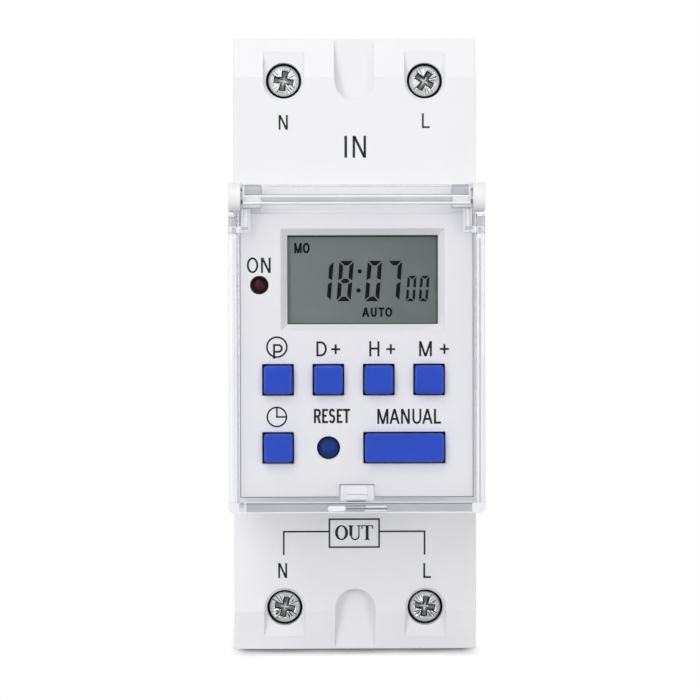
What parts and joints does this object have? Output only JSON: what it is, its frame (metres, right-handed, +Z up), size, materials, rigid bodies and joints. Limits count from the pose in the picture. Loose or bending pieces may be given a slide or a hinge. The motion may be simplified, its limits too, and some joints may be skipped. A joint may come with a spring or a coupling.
{
  "type": "din rail timer",
  "caption": "Rail-mounted programmable time switch with a hinged clear cover over its display and keys, and screw terminals at both ends.",
  "frame": {"origin": "middle of the rail seat, on the rail's centre line", "axes": "+Z up along the body with the IN terminals at the top, +Y back towards the rail, front faces -Y, +X to the right seen from the front"},
  "size_m": [0.036, 0.0665, 0.0886],
  "materials": {
    "white_plastic": "fine spark-eroded moulded texture, low sheen",
    "rear_white_plastic": "fine spark-eroded moulded texture, low sheen",
    "face_plastic": "smooth satin moulding",
    "clear_plastic": "clear polished polycarbonate",
    "display_glass": "smooth polarizer film over glass",
    "holder_plastic": "plain moulding",
    "blue_key": "satin moulding",
    "reset_blue": "satin moulding",
    "screw_steel": "bright zinc-plated steel, turned face",
    "cage_steel": "yellow zinc-plated steel",
    "terminal_brass": "rolled strip",
    "board_green": "solder-masked glass fibre",
    "black_plastic": "plain moulding",
    "switch_grey": "plain moulding",
    "relay_blue": "plain moulding",
    "capacitor_yellow": "plain moulding",
    "sleeve_dark": "shrunk sleeve",
    "resistor_tan": "lacquer",
    "varistor_blue": "dipped epoxy",
    "zebra_rubber": "layered silicone rubber",
    "cell_steel": "nickel-plated steel",
    "led_red": "tinted clear epoxy",
    "ribbon_grey": "PVC insulation",
    "ivory_plastic": "plain moulding",
    "clip_plastic": "fine moulded texture",
    "spring_steel": "drawn wire"
  },
  "bodies": {
    "housing": {"rear_housing": "rear_white_plastic", "front_housing": "white_plastic", "face_plate": "face_plastic", "lcd_glass": "display_glass", "lcd_holder": "holder_plastic", "zebra_strips": "zebra_rubber", "display_board": "board_green", "clock_chip": "black_plastic", "crystal": "cell_steel", "backup_cell": "cell_steel", "status_led": "led_red", "tact_switches": "switch_grey", "ribbon_cable": "ribbon_grey", "board_connectors": "ivory_plastic", "power_board": "board_green", "relay": "relay_blue", "film_capacitor": "capacitor_yellow", "smoothing_capacitor": "sleeve_dark", "rectifier_diodes": "black_plastic", "resistors": "resistor_tan", "driver_transistor": "black_plastic", "varistor": "varistor_blue", "terminal_bars": "terminal_brass", "board_screws": "screw_steel", "display_board_screws": "screw_steel", "clip_spring": "spring_steel"},
    "cover": {"clear_cover": "clear_plastic"},
    "rail_clip": {"rail_clip": "clip_plastic"},
    "program_key": {"key_program": "blue_key", "switch_stem_program": "black_plastic"},
    "day_key": {"key_day": "blue_key", "switch_stem_day": "black_plastic"},
    "hour_key": {"key_hour": "blue_key", "switch_stem_hour": "black_plastic"},
    "minute_key": {"key_minute": "blue_key", "switch_stem_minute": "black_plastic"},
    "clock_key": {"key_clock": "blue_key", "switch_stem_clock": "black_plastic"},
    "manual_key": {"key_manual": "blue_key", "switch_stem_manual": "black_plastic"},
    "reset_key": {"key_reset": "reset_blue", "switch_stem_reset": "black_plastic"},
    "screw_in_n": {"terminal_screw_in_n": "screw_steel"},
    "cage_in_n": {"terminal_cage_in_n": "cage_steel"},
    "screw_in_l": {"terminal_screw_in_l": "screw_steel"},
    "cage_in_l": {"terminal_cage_in_l": "cage_steel"},
    "screw_out_n": {"terminal_screw_out_n": "screw_steel"},
    "cage_out_n": {"terminal_cage_out_n": "cage_steel"},
    "screw_out_l": {"terminal_screw_out_l": "screw_steel"},
    "cage_out_l": {"terminal_cage_out_l": "cage_steel"}
  },
  "joints": [
    {"name": "cover_hinge", "type": "hinge", "parent": "housing", "child": "cover", "pos_m": [0, -0.05845, 0.0212], "axis": [-1, 0, 0], "range_deg": [0, 170]},
    {"name": "program_press", "type": "slide", "parent": "housing", "child": "program_key", "axis": [0, 1, 0], "range_m": [0, 0.0005], "stiffness_N_per_m": 3000, "springref_m": -0.0003},
    {"name": "day_press", "type": "slide", "parent": "housing", "child": "day_key", "axis": [0, 1, 0], "range_m": [0, 0.0005], "stiffness_N_per_m": 3000, "springref_m": -0.0003},
    {"name": "hour_press", "type": "slide", "parent": "housing", "child": "hour_key", "axis": [0, 1, 0], "range_m": [0, 0.0005], "stiffness_N_per_m": 3000, "springref_m": -0.0003},
    {"name": "minute_press", "type": "slide", "parent": "housing", "child": "minute_key", "axis": [0, 1, 0], "range_m": [0, 0.0005], "stiffness_N_per_m": 3000, "springref_m": -0.0003},
    {"name": "clock_press", "type": "slide", "parent": "housing", "child": "clock_key", "axis": [0, 1, 0], "range_m": [0, 0.0005], "stiffness_N_per_m": 3000, "springref_m": -0.0003},
    {"name": "manual_press", "type": "slide", "parent": "housing", "child": "manual_key", "axis": [0, 1, 0], "range_m": [0, 0.0005], "stiffness_N_per_m": 3000, "springref_m": -0.0003},
    {"name": "reset_press", "type": "slide", "parent": "housing", "child": "reset_key", "axis": [0, 1, 0], "range_m": [0, 0.0005], "stiffness_N_per_m": 3000, "springref_m": -0.0003},
    {"name": "rail_clip_slide", "type": "slide", "parent": "housing", "child": "rail_clip", "axis": [0, 0, -1], "range_m": [0, 0.003], "stiffness_N_per_m": 1500, "springref_m": -0.001, "deforming": ["clip_spring"]},
    {"name": "screw_turn_in_n", "type": "hinge", "parent": "housing", "child": "screw_in_n", "pos_m": [-0.0102, -0.0406, 0.0382], "axis": [0, 1, 0], "range_deg": [0, 2880]},
    {"name": "cage_lift_in_n", "type": "slide", "parent": "housing", "child": "cage_in_n", "axis": [0, -1, 0], "range_m": [0, 0.004]},
    {"name": "screw_turn_in_l", "type": "hinge", "parent": "housing", "child": "screw_in_l", "pos_m": [0.0102, -0.0406, 0.0382], "axis": [0, 1, 0], "range_deg": [0, 2880]},
    {"name": "cage_lift_in_l", "type": "slide", "parent": "housing", "child": "cage_in_l", "axis": [0, -1, 0], "range_m": [0, 0.004]},
    {"name": "screw_turn_out_n", "type": "hinge", "parent": "housing", "child": "screw_out_n", "pos_m": [-0.0102, -0.0406, -0.0382], "axis": [0, 1, 0], "range_deg": [0, 2880]},
    {"name": "cage_lift_out_n", "type": "slide", "parent": "housing", "child": "cage_out_n", "axis": [0, -1, 0], "range_m": [0, 0.004]},
    {"name": "screw_turn_out_l", "type": "hinge", "parent": "housing", "child": "screw_out_l", "pos_m": [0.0102, -0.0406, -0.0382], "axis": [0, 1, 0], "range_deg": [0, 2880]},
    {"name": "cage_lift_out_l", "type": "slide", "parent": "housing", "child": "cage_out_l", "axis": [0, -1, 0], "range_m": [0, 0.004]}
  ],
  "couplings": [
    {"joint": "screw_turn_in_n", "follows": "cage_lift_in_n", "rad_per_m": 12566},
    {"joint": "screw_turn_in_l", "follows": "cage_lift_in_l", "rad_per_m": 12566},
    {"joint": "screw_turn_out_n", "follows": "cage_lift_out_n", "rad_per_m": 12566},
    {"joint": "screw_turn_out_l", "follows": "cage_lift_out_l", "rad_per_m": 12566}
  ]
}
